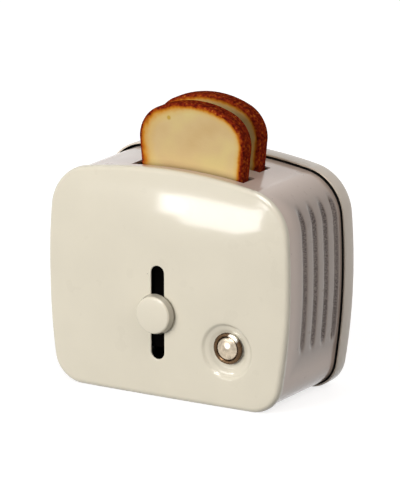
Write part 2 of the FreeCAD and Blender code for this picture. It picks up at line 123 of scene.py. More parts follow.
# Knob and dial
LATHE_STEPS = 96
DOME_STEPS = 10
KNOB_TAPER = 0.38
KNOB_EDGE_RADIUS = 0.55
KNOB_BACK_ROUND = 0.15
KNOB_DOME = 0.22
DIAL_RING_WIDTH = 0.92
DIAL_RING_LEVEL = 0.70
DIAL_BOSS_GAP = 0.05
DIAL_BOSS_LEVEL = 0.75
DIAL_BOSS_ROUND = 0.6
DIAL_BOSS_DOME = 0.45
# Direction of the painted highlights on the dial's stud
STUD_HIGHLIGHT_ANGLE = math.radians(60)

# Bread
BREAD_CROWN_RADIUS = 23.0
BREAD_SHOULDER_RADIUS = 8.0
BREAD_WAIST = 1.0
BREAD_WAIST_DROP = 10.0
BREAD_FOOT_RADIUS = 1.5
BREAD_EDGE_RADIUS = 0.7
BREAD_STEP = 0.5
BREAD_SPACING = 0.8
BREAD_RINGS = (0.4, 0.9)
BREAD_DEPTH_STEPS = 6
CRUST_WIDTH = 0.95
CRUST_MARK = 0.25
TOASTED_LEFT = 4.5
TOASTED_RIGHT = 1.5
PAINT_DROP = (-2.6, -9.555, 65.2)
PAINT_DROP_CORE = 0.35
PAINT_DROP_RADIUS = 0.65
SLOT_SHADOW_REACH = 1.5

# Camera, from the photograph
AZIMUTH = math.radians(31.0)
ELEVATION = math.radians(14.85)
ROLL = math.radians(0.17)
DISTANCE = 1378.0
AIM_X = 0.8
AIM_SIDE = 7.74
AIM_UP = 7.53
AIM_HEIGHT = 28.0
FOCAL_PIXELS = 6000.0
PHOTO_HEIGHT = 500.0
SENSOR = 36.0
CLIP_END = 20.0

# Floor and world. The floor's bounce is what reaches the object, and its shadow and glow are what shows.
FLOOR_REACH = 4.0
FLOOR_BOUNCE = 0.16
FLOOR_SHADOW = 0.55
FLOOR_GLOW = 0.735
WORLD_FILL = 0.25

# Softboxes, as name, direction, size, power and colour, all at one distance from the object's middle
MIDDLE = (0, 0, 0.03)
SOFTBOX_DISTANCE = 1.0
SOFTBOXES = (
    ("key", (-0.34, -0.90, 0.26), 0.60, 8.2, (1.0, 0.985, 0.955)),
    ("right_fill", (0.70, -0.20, 0.68), 0.50, 3.1, (1.0, 0.95, 0.92)),
    ("back_fill", (-0.45, 0.90, 0.15), 0.60, 3.0, (1.0, 0.98, 0.95)),
)

# Highlight lamps, as name, place, target, width, height and power
GLINTS = (
    ("front_glint", (0, -0.74, 0.54), MIDDLE, 0.20, 0.20, 1.8),
    ("top_glint", (0.077, -0.235, 0.465), MIDDLE, 0.30, 0.30, 2.4),
    ("face_glint", (-0.045, -0.1495, 0.0305), (0.0145, -0.0155, 0.0455), 0.047, 0.022, 0.029),
    ("side_glint", (-0.0735, -0.1455, 0.0325), (0.0015, -0.0156, 0.0465), 0.008, 0.015, 0.0050),
)


class Builder:
    """Collects the points and faces of one mesh, in millimetres, with a mark from 0 to 1 on each point."""

    def __init__(self):
        self.points = []
        self.marks = []
        self.faces = []
        self.slots = []

    def add(self, points, marks=None):
        """Adds points and returns their numbers."""
        first = len(self.points)
        points = [tuple(p) for p in points]
        self.points += points
        self.marks += [0.0] * len(points) if marks is None else list(marks)
        return list(range(first, len(self.points)))

    def face(self, corners, slot=0):
        self.faces.append(corners)
        self.slots.append(slot)

    def strip(self, first, second, slot=0):
        """Quads between two closed rows of points."""
        for i in range(len(first)):
            j = (i + 1) % len(first)
            self.face([first[i], first[j], second[j], second[i]], slot)

    def fan(self, row, tip):
        for i, corner in enumerate(row):
            self.face([corner, row[(i + 1) % len(row)], tip])

    def piece(self, name, body, node, materials):
        """Makes the object, which stands for a CAD node and rides on its body."""
        mesh = bpy.data.meshes.new(name)
        mesh.from_pydata([Vector(p) * MM for p in self.points], [], self.faces)
        for material in materials:
            mesh.materials.append(material)
        mesh.polygons.foreach_set("material_index", self.slots)
        mesh.attributes.new("mark", "FLOAT", "POINT").data.foreach_set("value", self.marks)
        work = bmesh.new()
        work.from_mesh(mesh)
        bmesh.ops.recalc_face_normals(work, faces=work.faces)
        work.to_mesh(mesh)
        work.free()
        mesh.shade_smooth()
        mesh.set_sharp_from_angle(angle=SHARP_ANGLE)
        made = bpy.data.objects.new(name, mesh)
        bpy.context.scene.collection.objects.link(made)
        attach(made, body)
        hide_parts(node)
        return made


def node_box(name):
    """Lowest and highest corner of a CAD node, in millimetres."""
    return [np.array(corner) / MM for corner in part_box(name)]


# Outlines made of arcs. A station is a row of centre x, centre z, radius and direction.


def arc(centre, radius, start, end, step=ARC_STEP):
    count = max(3, math.ceil(abs(end - start) * radius / step) + 1)
    return [(centre[0], centre[1], radius, angle) for angle in np.linspace(start, end, count)]


def mirrored(stations):
    return [(-x, z, radius, math.pi - angle) for x, z, radius, angle in reversed(stations)]


def joined(*runs):
    """One row of stations from several runs, without the doubled ones where they meet."""
    stations = []
    for run in runs:
        for station in run:
            if not stations or np.abs(np.subtract(station, stations[-1])).max() > SAME:
                stations.append(station)
    return np.array(stations)


def inset_points(stations, inset):
    """Points in plan of the front view, set in from the outline."""
    reach = stations[:, 2] - inset
    return np.stack([stations[:, 0] + reach * np.cos(stations[:, 3]),
                     stations[:, 1] + reach * np.sin(stations[:, 3])], axis=1)


def housing_runs(half_width, height, foot_level, lip, crown_stops=()):
    """Right-hand runs from the bottom up, and the crown's run from right to left."""
    crown = np.array([0.0, height - CROWN_RADIUS])
    side = np.array([half_width - SIDE_RADIUS, WIDEST_LEVEL])
    to_crown = CROWN_RADIUS - SHOULDER_RADIUS
    to_side = SIDE_RADIUS - SHOULDER_RADIUS
    link = side - crown
    span = np.linalg.norm(link)
    along = (to_crown ** 2 - to_side ** 2 + span ** 2) / (2 * span)
    unit = link / span
    normal = np.array([-unit[1], unit[0]])
    normal = normal if normal[0] > 0 else -normal
    shoulder = crown + unit * along + normal * math.sqrt(to_crown ** 2 - along ** 2)
    foot_reach = SIDE_RADIUS - FOOT_RADIUS
    foot_x = side[0] + math.sqrt(foot_reach ** 2 - (foot_level - side[1]) ** 2)
    foot = np.array([foot_x, foot_level])
    at_foot = math.atan2(*(foot - side)[::-1])
    at_shoulder = math.atan2(*(shoulder - side)[::-1])
    at_crown = math.atan2(*(shoulder - crown)[::-1])
    down = -math.pi / 2
    count = math.ceil((foot_x - lip) / ARC_STEP) + 1
    bottom = [(x, foot_level, FOOT_RADIUS, down) for x in np.linspace(lip, foot_x, count)]
    right = [bottom, arc(foot, FOOT_RADIUS, down, at_foot), arc(side, SIDE_RADIUS, at_foot, at_shoulder),
             arc(shoulder, SHOULDER_RADIUS, at_shoulder, at_crown)]
    over = [angle for *_, angle in arc(crown, CROWN_RADIUS, at_crown, math.pi - at_crown)]
    stops = [math.acos(x / (CROWN_RADIUS - SHEET)) for x in crown_stops]
    over = [a for a in over if all(abs(a - s) * CROWN_RADIUS > ARC_STEP / 2 for s in stops)] + stops
    return right, [(crown[0], crown[1], CROWN_RADIUS, angle) for angle in sorted(over)]


def closed_outline(half_width, height, foot_level):
    right, over = housing_runs(half_width, height, foot_level, 0.0)
    left = [mirrored(run) for run in reversed(right)]
    return joined(*right, over, *left)[:-1]


def stadium(x, low, high, width, grow):
    """Points round an upright slot with round ends."""
    radius = width / 2
    upper = arc((x, high - radius), radius, 0, math.pi, step=radius / 6)
    lower = arc((x, low + radius), radius, math.pi, 2 * math.pi, step=radius / 6)
    return inset_points(np.array(upper + lower), -grow)


def inside(points, loop):
    """True for each point that lies inside a closed loop."""
    x, z = points[:, 0, None], points[:, 1, None]
    x0, z0 = loop[:, 0], loop[:, 1]
    x1, z1 = np.roll(x0, -1), np.roll(z0, -1)
    crosses = (z0 > z) != (z1 > z)
    with np.errstate(divide="ignore", invalid="ignore"):
        at = x0 + (z - z0) * (x1 - x0) / (z1 - z0)
    return (crosses & (x < at)).sum(axis=1) % 2 == 1


def distance_to(points, loop):
    return np.sqrt(((points[:, None, :] - loop[None, :, :]) ** 2).sum(axis=2)).min(axis=1)


def filled(loop, holes, rings, spacing):
    """Points and triangles that fill a loop round its holes. The loop's and the holes' points come first."""
    fixed = [loop] + holes
    given = np.concatenate(fixed + rings)
    low, high = loop.min(axis=0), loop.max(axis=0)
    across = np.arange(low[0] + spacing / 2, high[0], spacing)
    upward = np.arange(low[1] + spacing / 2, high[1], spacing)
    grid = np.stack(np.meshgrid(across, upward), axis=-1).reshape(-1, 2)
    grid = grid[inside(grid, loop)]
    for hole in holes:
        grid = grid[~inside(grid, hole)]
    grid = grid[distance_to(grid, given) > spacing / 2]
    points = np.concatenate([given, grid])
    edges, first = [], 0
    for ring in fixed:
        count = len(ring)
        edges += [(first + i, first + (i + 1) % count) for i in range(count)]
        first += count
    result = delaunay_2d_cdt([Vector(p) for p in points], edges, [], 0, SAME)
    source = [ids[0] for ids in result[3]]
    triangles = [[source[i] for i in face] for face in result[2]]
    middles = np.array([points[t].mean(axis=0) for t in triangles])
    keep = inside(middles, loop)
    for hole in holes:
        keep &= ~inside(middles, hole)
    return points, [t for t, kept in zip(triangles, keep) if kept]


# Front and rear pans


def ring_points(centre, radius):
    angles = np.linspace(0, 2 * math.pi, LATHE_STEPS, endpoint=False)
    return np.stack([centre[0] + radius * np.cos(angles), centre[1] + radius * np.sin(angles)], axis=1)


def pan(name, node, side, materials, pillow, slot=None, dimple=None):
    """Pressed pan: a domed face, a rounded edge, a flange and a raw edge.

    The face falls away towards its edge by the pillow's depth.
    """
    low, high = node_box(node)
    crest = low[1] if side < 0 else high[1]
    flange = high[1] - low[1]
    dome_level = BAND_TOP / 2
    foot_level = low[2] + FOOT_RADIUS
    outline = closed_outline(high[0], high[2], foot_level)
    face_edge = inset_points(outline, PAN_EDGE_RADIUS)
    profile = np.array(DIMPLE_STEPS)

    def face_depth(points):
        squares = points[:, 0] ** 2 + (points[:, 1] - dome_level) ** 2
        depth = DOME_RADIUS - np.sqrt(DOME_RADIUS ** 2 - squares)
        from_edge = np.clip(1 - distance_to(points, face_edge) / PILLOW_WIDTH, 0, 1)
        up = np.clip((points[:, 1] - PILLOW_START) / (PILLOW_FULL - PILLOW_START), 0, 1)
        depth += pillow * up * from_edge ** 2
        if dimple is not None:
            reach = np.hypot(points[:, 0] - dimple[0], points[:, 1] - dimple[1])
            depth += np.interp(-reach, -profile[:, 0], profile[:, 1])
        return depth

    def placed(points, depth):
        return [(x, crest - side * d, z) for (x, z), d in zip(points, depth)]

    holes = [] if slot is None else [stadium(*slot, SLOT_EDGE_RADIUS)]
    rings = []
    if dimple is not None:
        rings = [ring_points(dimple, radius) for radius in profile[:, 0]]
    points, triangles = filled(face_edge, holes, rings, FACE_SPACING)
    depth = face_depth(points)
    build = Builder()
    outer = build.add(placed(points, depth))
    inner_points = points.copy()
    count = len(face_edge)
    if slot is not None:
        inner_points[count:count + len(holes[0])] = stadium(*slot, 0.0)
    inner = build.add(placed(inner_points, depth + SHEET))
    for triangle in triangles:
        build.face([outer[i] for i in triangle])
        build.face([inner[i] for i in reversed(triangle)], 1)
    edge_depth = depth[:count]
    outer_row, inner_row = outer[:count], inner[:count]
    inner_radius = PAN_EDGE_RADIUS - SHEET
    for turn in np.linspace(0, math.pi / 2, PAN_EDGE_STEPS)[1:]:
        over, down = 1 - math.sin(turn), 1 - math.cos(turn)
        row = build.add(placed(inset_points(outline, PAN_EDGE_RADIUS * over),
                               edge_depth + PAN_EDGE_RADIUS * down))
        build.strip(outer_row, row)
        outer_row = row
        row = build.add(placed(inset_points(outline, SHEET + inner_radius * over),
                               edge_depth + SHEET + inner_radius * down))
        build.strip(inner_row, row, 1)
        inner_row = row
    for turn in (0, math.pi / 4, math.pi / 2):
        inset = RAW_EDGE_RADIUS * (1 - math.cos(turn))
        level = flange - RAW_EDGE_RADIUS * (1 - math.sin(turn))
        row = build.add(placed(inset_points(outline, inset), np.full(count, level)))
        build.strip(outer_row, row)
        outer_row = row
        row = build.add(placed(inset_points(outline, SHEET - inset), np.full(count, level)))
        build.strip(inner_row, row, 1)
        inner_row = row
    build.strip(outer_row, inner_row)
    if slot is not None:
        rim = list(range(count, count + len(holes[0])))
        outer_rim = [outer[i] for i in rim]
        for turn in np.linspace(0, math.pi / 2, ROUND_STEPS)[1:]:
            grow = SLOT_EDGE_RADIUS * (1 - math.sin(turn))
            down = SLOT_EDGE_RADIUS * (1 - math.cos(turn))
            row = build.add(placed(stadium(*slot, grow), depth[rim] + down))
            build.strip(outer_rim, row)
            outer_rim = row
        build.strip(outer_rim, [inner[i] for i in rim], 1)
    return build.piece(name, "housing", node, materials)


# Band


def flute_centres():
    first = FLUTES_Y - FLUTE_PITCH * (FLUTE_COUNT - 1) / 2
    return [first + FLUTE_PITCH * i for i in range(FLUTE_COUNT)]


def flute_depth(y, z, on_side):
    """How deep the groove is, from 0 to 1."""
    offset = min(abs(y - centre) for centre in flute_centres())
    if not on_side or offset >= FLUTE_HALF_WIDTH:
        return 0.0
    across = 0.5 * (1 + math.cos(math.pi * offset / FLUTE_HALF_WIDTH))
    to_end = min(z - FLUTE_BOTTOM, (FLUTE_TOP - z) / FLUTE_TOP_STRETCH) / FLUTE_FADE + FLUTE_FADE_START
    along = min(max(to_end, 0.0), 1.0)
    return across * along * along * (3 - 2 * along)


def flute_mark(y, z, on_side):
    """Mark that rises to the zone's own in a soft zone round the flutes, and on to 1 in the grooves."""
    centres = flute_centres()
    beyond = max(centres[0] - y, y - centres[-1], FLUTE_BOTTOM - FLUTE_ZONE_FOOT - z, z - FLUTE_TOP, 0.0)
    zone = FLUTE_ZONE_MARK * max(1 - beyond / FLUTE_PITCH, 0.0) if on_side else 0.0
    return zone + (1 - zone) * flute_depth(y, z, on_side)


def bread_slots():
    """Low and high corner of each bread slot in plan."""
    slots = []
    for node in ("front_slice", "rear_slice"):
        low, high = node_box(node)
        x0 = low[0] - SLICE_OFFSET_X - SLOT_PLAY_X
        x1 = high[0] - SLICE_OFFSET_X + SLOT_PLAY_X
        y0 = low[1] - SLOT_PLAY_Y
        y1 = high[1] + SLOT_PLAY_Y
        slots.append((x0, x1, y0, y1))
    return slots


def band(materials):
    """Band bent round the housing, with pressed flutes and two bread slots."""
    low, high = node_box("body_band")
    slots = bread_slots()
    stops_x = [x for slot in slots for x in slot[:2]]
    right, over = housing_runs(high[0] + SHEET, high[2] + SHEET, FOOT_RADIUS, LIP_OPENING / 2, stops_x)
    left = [mirrored(run) for run in reversed(right)]
    stations = joined(*right, over, *left)
    side_directions = np.abs(np.cos(stations[:, 3])) > SIDE_COSINE
    stops_y = {low[1], high[1]}
    stops_y |= {y for slot in slots for y in slot[2:]}
    for centre in flute_centres():
        stops_y |= set(centre + np.linspace(-FLUTE_HALF_WIDTH, FLUTE_HALF_WIDTH, FLUTE_STEPS + 1))
    for y in np.arange(low[1], high[1], BAND_STEP_Y):
        if min(abs(y - stop) for stop in stops_y) > BAND_STEP_Y / 2:
            stops_y.add(y)
    rows_y = sorted(stops_y)
    rows_y = [y for i, y in enumerate(rows_y) if i == 0 or y - rows_y[i - 1] > SAME]
    level = inset_points(stations, SHEET)[:, 1]
    build = Builder()
    skins = []
    for inset in (SHEET, 2 * SHEET):
        rows = []
        for y in rows_y:
            depth = np.array([flute_depth(y, z, s) for z, s in zip(level, side_directions)])
            reach = stations[:, 2] - inset - FLUTE_DEPTH * depth
            x = stations[:, 0] + reach * np.cos(stations[:, 3])
            z = stations[:, 1] + reach * np.sin(stations[:, 3])
            marks = [flute_mark(y, z, s) for z, s in zip(level, side_directions)]
            rows.append(build.add([(a, y, b) for a, b in zip(x, z)], marks))
        skins.append(rows)
    plan_x = inset_points(stations, SHEET)[:, 0]

    def open_at(row, column):
        """True where a bread slot takes this quad out."""
        if min(level[column], level[column + 1]) < WIDEST_LEVEL:
            return False
        x = (plan_x[column] + plan_x[column + 1]) / 2
        y = (rows_y[row] + rows_y[row + 1]) / 2
        return any(x0 < x < x1 and y0 < y < y1 for x0, x1, y0, y1 in slots)

    rows, columns = len(rows_y) - 1, len(stations) - 1
    present = np.array([[not open_at(r, c) for c in range(columns)] for r in range(rows)])
    padded = np.pad(present, 1)
    outer, inner = skins
    # The band's outer skin turns dark just before it goes under the rear pan's flange: painted shade in the
    # gap
    gap_shade_start = node_box("rear_panel")[0][1] + GAP_SHADE_LAP
    for r, c in zip(*np.nonzero(present)):
        corners = [(r, c), (r, c + 1), (r + 1, c + 1), (r + 1, c)]
        build.face([outer[a][b] for a, b in corners], 0 if rows_y[r] < gap_shade_start else 1)
        build.face([inner[a][b] for a, b in reversed(corners)], 1)
        beside = [padded[r, c + 1], padded[r + 1, c + 2], padded[r + 2, c + 1], padded[r + 1, c]]
        for i, there in enumerate(beside):
            if not there:
                (a, b), (d, e) = corners[i], corners[(i + 1) % 4]
                build.face([outer[a][b], inner[a][b], inner[d][e], outer[d][e]])
    return build.piece("body_band_skin", "housing", "body_band", materials)


# Turned pieces


def lathe(build, profile, centre, outward):
    """Turns a profile of radius and height about an axis from front to back. Its ends are on the axis."""
    x, y, z = centre
    rows = []
    for radius, height in profile[1:-1]:
        ring = ring_points((x, z), radius)
        marks = [height / profile[-1][1]] * LATHE_STEPS
        rows.append(build.add([(a, y + outward * height, b) for a, b in ring], marks))
    for first, second in zip(rows, rows[1:]):
        build.strip(first, second)
    for row, (_, height) in ((rows[0], profile[0]), (rows[-1], profile[-1])):
        tip = build.add([(x, y + outward * height, z)], [height / profile[-1][1]])[0]
        build.fan(row, tip)


def quarter(radius, height, inward):
    """Quarter round from the side at this radius and height to the top, with this rounding."""
    steps = np.linspace(0, math.pi / 2, ROUND_STEPS)
    return [(radius - inward * (1 - math.cos(a)), height - inward * (1 - math.sin(a))) for a in steps]


def dome_line(radius, base, rise):
    """Shallow dome from its edge to the axis."""
    ball = (radius ** 2 + rise ** 2) / (2 * rise)
    spread = np.linspace(radius, 0, DOME_STEPS)[1:]
    return [(r, base + math.sqrt(ball ** 2 - r ** 2) - (ball - rise)) for r in spread]


def knob(material):
    low, high = node_box("lever_knob")
    radius = (high[0] - low[0]) / 2
    centre = ((low[0] + high[0]) / 2, high[1], (low[2] + high[2]) / 2)
    rim = high[1] - low[1] - KNOB_DOME
    back = [(radius - KNOB_BACK_ROUND + KNOB_BACK_ROUND * math.sin(a), KNOB_BACK_ROUND * (1 - math.cos(a)))
            for a in np.linspace(0, math.pi / 2, ROUND_STEPS)]
    front = radius - KNOB_TAPER
    edge = quarter(front, rim, KNOB_EDGE_RADIUS)
    top = dome_line(front - KNOB_EDGE_RADIUS, rim, KNOB_DOME)
    build = Builder()
    lathe(build, [(0, 0)] + back + edge + top, centre, -1)
    return build.piece("lever_knob_skin", "carriage", "lever_knob", [material])


def dial(ring_material, boss_material):
    low, high = node_box("dial_cap")
    radius = (high[0] - low[0]) / 2
    centre = ((low[0] + high[0]) / 2, high[1], (low[2] + high[2]) / 2)
    half = DIAL_RING_WIDTH / 2
    turns = np.linspace(0, math.pi, 2 * ROUND_STEPS)
    torus = [(radius - half + half * math.cos(a), DIAL_RING_LEVEL - half + half * math.sin(a)) for a in turns]
    groove = radius - DIAL_RING_WIDTH
    boss_radius = groove - DIAL_BOSS_GAP
    boss = quarter(boss_radius, DIAL_BOSS_LEVEL, DIAL_BOSS_ROUND)
    top = dome_line(boss_radius - DIAL_BOSS_ROUND, DIAL_BOSS_LEVEL, DIAL_BOSS_DOME)
    build = Builder()
    lathe(build, [(0, 0), (radius, 0)] + torus + boss + top, centre, -1)
    made = build.piece("dial_cap_skin", "dial", "dial_cap", [ring_material, boss_material])
    for polygon in made.data.polygons:
        x, y, z = polygon.center / MM
        on_boss = math.hypot(x - centre[0], z - centre[2]) < groove and y < high[1] - DIAL_RING_LEVEL / 2
        polygon.material_index = 1 if on_boss else 0
    return made


# Bread


def bread_outline(low, high):
    """Closed outline of a slice: domed top, round shoulders, a waist and small round feet."""
    middle = (low[0] + high[0]) / 2
    half = (high[0] - low[0]) / 2
    waist = half - BREAD_WAIST
    crown = np.array([0, high[2] - BREAD_CROWN_RADIUS])
    reach = BREAD_CROWN_RADIUS - BREAD_SHOULDER_RADIUS
    run = half - BREAD_SHOULDER_RADIUS
    shoulder = np.array([run, crown[1] + math.sqrt(reach ** 2 - run ** 2)])
    at_crown = math.atan2(*(shoulder - crown)[::-1])
    foot = (waist - BREAD_FOOT_RADIUS, low[2] + BREAD_FOOT_RADIUS)
    waist_level = shoulder[1] - BREAD_WAIST_DROP

    def straight(start, end):
        count = math.ceil(math.dist(start, end) / BREAD_STEP) + 1
        return [(x, z, 0.0, 0.0) for x, z in np.linspace(start, end, count)]

    down = -math.pi / 2
    runs = [
        straight((0, low[2]), (foot[0], low[2])),
        arc(foot, BREAD_FOOT_RADIUS, down, 0, BREAD_STEP),
        straight((waist, foot[1]), (waist, waist_level)),
        straight((waist, waist_level), (half, shoulder[1])),
        arc(shoulder, BREAD_SHOULDER_RADIUS, 0, at_crown, BREAD_STEP),
        arc(crown, BREAD_CROWN_RADIUS, at_crown, math.pi / 2, BREAD_STEP),
    ]
    points = np.concatenate([inset_points(np.array(run), 0.0) for run in runs])
    keep = np.r_[True, np.linalg.norm(np.diff(points, axis=0), axis=1) > 1e-3]
    points = points[keep]
    loop = np.concatenate([points, (points * [-1, 1])[::-1][1:-1]])
    return loop + [middle, 0]


def shrunk(loop, inset):
    """Loop moved inwards along its smoothed normals."""
    ahead, behind = np.roll(loop, -1, axis=0), np.roll(loop, 1, axis=0)
    tangent = ahead - behind
    tangent /= np.linalg.norm(tangent, axis=1)[:, None]
    return loop - inset * np.stack([tangent[:, 1], -tangent[:, 0]], axis=1)


def slice_of_bread(name, node, body, material):
    """Slice with a soft rounded crust. Its marks run from the crust through the toasted part to the crumb."""
    low, high = node_box(node)
    loop = bread_outline(low, high)
    face_edge = shrunk(loop, BREAD_EDGE_RADIUS)
    rings = [shrunk(loop, BREAD_EDGE_RADIUS + inset) for inset in BREAD_RINGS]
    points, triangles = filled(face_edge, [], rings, BREAD_SPACING)
    reach = distance_to(points, loop)
    toasted = np.interp(points[:, 0], [low[0], (low[0] + high[0]) / 2], [TOASTED_LEFT, TOASTED_RIGHT])
    in_crust = np.clip(reach / CRUST_WIDTH, 0, 1)
    past_crust = np.clip((reach - CRUST_WIDTH) / toasted, 0, 1)
    to_edge = CRUST_MARK * in_crust + (1 - CRUST_MARK) * past_crust
    count = len(loop)
    build = Builder()
    rows = []
    for y, inward in ((low[1], 1), (high[1], -1)):
        skin = build.add([(x, y, z) for x, z in points], to_edge)
        for triangle in triangles:
            build.face([skin[i] for i in triangle])
        row = skin[:count]
        for turn in np.linspace(0, math.pi / 2, ROUND_STEPS)[1:]:
            inset = BREAD_EDGE_RADIUS * (1 - math.sin(turn))
            depth = BREAD_EDGE_RADIUS * (1 - math.cos(turn))
            ring = shrunk(loop, inset)
            marks = CRUST_MARK * np.clip(distance_to(ring, loop) / CRUST_WIDTH, 0, 1)
            following = build.add([(x, y + inward * depth, z) for x, z in ring], marks)
            build.strip(row, following)
            row = following
        rows.append(row)
    front, back = rows
    depths = np.linspace(low[1] + BREAD_EDGE_RADIUS, high[1] - BREAD_EDGE_RADIUS, BREAD_DEPTH_STEPS)[1:-1]
    previous = front
    for y in depths:
        row = build.add([(x, y, z) for x, z in loop])
        build.strip(previous, row)
        previous = row
    build.strip(previous, back)
    return build.piece(name, body, node, [material])


# Materials


def add(tree, kind, inputs=None, **settings):
    """Adds a node with its settings, and fills its inputs with values or links."""
    made = tree.nodes.new("ShaderNode" + kind)
    for key, value in settings.items():
        setattr(made, key, value)
    for key, value in (inputs or {}).items():
        if isinstance(value, bpy.types.NodeSocket):
            tree.links.new(value, made.inputs[key])
        else:
            made.inputs[key].default_value = value
    return made


def ramp(tree, factor, stops):
    """Colour ramp through the given places and colours."""
    made = add(tree, "ValToRGB", {"Fac": factor})
    elements = made.color_ramp.elements
    while len(elements) < len(stops):
        elements.new(0.5)
    for element, (place, colour) in zip(elements, stops):
        element.position = place
        element.color = (*colour, 1) if len(colour) == 3 else (colour[0],) * 3 + (1,)
    return made.outputs["Color"]


def mix(tree, factor, first, second, blend="MIX"):
    made = add(tree, "Mix", data_type="RGBA", blend_type=blend)
    for socket, value in ((0, factor), (6, first), (7, second)):
        if isinstance(value, bpy.types.NodeSocket):
            tree.links.new(value, made.inputs[socket])
        else:
            made.inputs[socket].default_value = value if socket == 0 else (*value, 1)
    return made.outputs[2]


def noise(tree, size, detail, stretch=(1, 1, 1)):
    """Noise whose features are about size millimetres across."""
    place = add(tree, "TexCoord").outputs["Object"]
    place = add(tree, "Mapping", {"Vector": place, "Scale": stretch}).outputs["Vector"]
    return add(tree, "TexNoise", {"Vector": place, "Scale": 1 / (size * MM), "Detail": detail,
                                  "Roughness": 0.5}).outputs["Fac"]


def bump(tree, height, distance, normal=None):
    inputs = {"Height": height, "Distance": distance * MM, "Strength": 1.0}
    if normal is not None:
        inputs["Normal"] = normal
    return add(tree, "Bump", inputs).outputs["Normal"]


def blank(name, values):
    """New material and its shader, with plain values on the shader's own sockets."""
    material = bpy.data.materials.new(name)
    material.use_nodes = True
    shader = material.node_tree.nodes["Principled BSDF"]
    for key, value in values.items():
        shader.inputs[key].default_value = value
    return material, material.node_tree, shader


def shaded(colour, factor):
    return tuple(channel * factor for channel in colour)


def enamel(name, colour, speck_limit=0.86, painted_shade=None, flutes=False):
    """Glossy enamel on pressed tin: soft ripples, faint mottling and tiny specks.

    Painted shade and the flutes' dark grooves follow the mark.
    """
    values = {"Specular IOR Level": 0.15, "Coat Weight": 0.85, "Coat Roughness": 0.09}
    material, tree, shader = blank(name, values)
    tone = ramp(tree, noise(tree, 14.0, 4.0), [(0.35, shaded(colour, 0.98)), (0.65, shaded(colour, 1.015))])
    specks = ramp(tree, noise(tree, 0.55, 1.0), [(speck_limit, (0,)), (speck_limit + 0.02, (1,))])
    tone = mix(tree, specks, tone, shaded(colour, 0.35))
    if painted_shade or flutes:
        mark = add(tree, "Attribute", attribute_name="mark").outputs["Fac"]
    # Painted shade: the colour goes darker where the given stops on the mark say
    if painted_shade:
        tone = mix(tree, ramp(tree, mark, painted_shade), tone, shaded(colour, 0.45))
    if flutes:
        # Dark, grainy colour in the flutes' grooves, weaker in patches
        core = ramp(tree, mark, [(0.24, (0,)), (0.46, (1,))])
        grain = ramp(tree, noise(tree, 0.34, 3.0, (0.7, 0.7, 1.5)), [(0.40, (0.50,)), (0.56, (1,))])
        patches = ramp(tree, noise(tree, 8.0, 2.0, (1, 1, 0.5)), [(0.35, (0.72,)), (0.60, (1,))])
        dark = mix(tree, 1.0, core, grain, "MULTIPLY")
        dark = mix(tree, 1.0, dark, patches, "MULTIPLY")
        tone = mix(tree, dark, tone, (0.070, 0.044, 0.035))
    tree.links.new(tone, shader.inputs["Base Color"])
    gloss = ramp(tree, noise(tree, 6.0, 3.0), [(0.3, (0.26,)), (0.7, (0.36,))])
    tree.links.new(gloss, shader.inputs["Roughness"])
    ripple = bump(tree, noise(tree, 9.0, 2.0), 0.10)
    peel = bump(tree, noise(tree, 0.9, 2.0), 0.004, normal=ripple)
    tree.links.new(peel, shader.inputs["Normal"])
    return material


def stud(name, colour, roughness, centre, highlight_colour, at, spread):
    """Worn plating with a painted highlight on it, at a distance and direction from the stud's middle."""
    material, tree, shader = blank(name, {"Metallic": 1.0})
    place = add(tree, "TexCoord").outputs["Object"]
    spot = ((centre[0] + at * math.cos(STUD_HIGHLIGHT_ANGLE)) * MM, 0, (centre[1] + at * math.sin(STUD_HIGHLIGHT_ANGLE)) * MM)
    flat = add(tree, "VectorMath", {0: place, 1: (1, 0, 1)}, operation="MULTIPLY").outputs["Vector"]
    away = add(tree, "VectorMath", {0: flat, 1: spot}, operation="DISTANCE").outputs["Value"]
    rough_edge = add(tree, "Math", {0: noise(tree, 1.0, 3.0), 1: spread * MM * 0.5},
                     operation="MULTIPLY").outputs["Value"]
    away = add(tree, "Math", {0: away, 1: rough_edge}, operation="ADD").outputs["Value"]
    share = add(tree, "MapRange", {"Value": away, "From Min": spread * MM * 0.75,
                                   "From Max": spread * MM * 1.25, "To Min": 1.0,
                                   "To Max": 0.0}).outputs["Result"]
    tone = ramp(tree, noise(tree, 1.6, 3.0), [(0.35, shaded(colour, 0.62)), (0.62, colour)])
    tone = mix(tree, share, tone, highlight_colour)
    tree.links.new(tone, shader.inputs["Base Color"])
    gloss = ramp(tree, noise(tree, 1.0, 2.0), [(0.3, (roughness * 0.8,)), (0.7, (roughness * 1.3,))])
    tree.links.new(gloss, shader.inputs["Roughness"])
    tree.links.new(bump(tree, noise(tree, 1.4, 2.0), 0.03), shader.inputs["Normal"])
    return material


def metal(name, colour, roughness, grain=(1, 1, 1)):
    """Bare metal with drawn or rolled grain and a few dull stains."""
    material, tree, shader = blank(name, {"Metallic": 1.0})
    lines = noise(tree, 0.5, 4.0, grain)
    dull = noise(tree, 5.0, 5.0)
    tone = ramp(tree, dull, [(0.35, shaded(colour, 0.75)), (0.6, colour)])
    tone = mix(tree, ramp(tree, lines, [(0.3, (0.2,)), (0.7, (0.0,))]), tone, shaded(colour, 0.6))
    tree.links.new(tone, shader.inputs["Base Color"])
    spread = ramp(tree, lines, [(0.3, (roughness * 0.8,)), (0.7, (roughness * 1.3,))])
    tree.links.new(spread, shader.inputs["Roughness"])
    tree.links.new(bump(tree, lines, 0.01), shader.inputs["Normal"])
    return material


def dark_sheet(name, colour, specular=0.12):
    """Dull dark sheet: the shells' unpainted inside and the steel with its black finish, both made near black
    as painted shade in gaps and in the lever slot.
    """
    material, tree, shader = blank(name, {"Specular IOR Level": specular})
    tone = ramp(tree, noise(tree, 4.0, 5.0), [(0.35, shaded(colour, 0.6)), (0.7, colour)])
    tree.links.new(tone, shader.inputs["Base Color"])
    rough = ramp(tree, noise(tree, 1.2, 3.0), [(0.3, (0.55,)), (0.7, (0.8,))])
    tree.links.new(rough, shader.inputs["Roughness"])
    return material


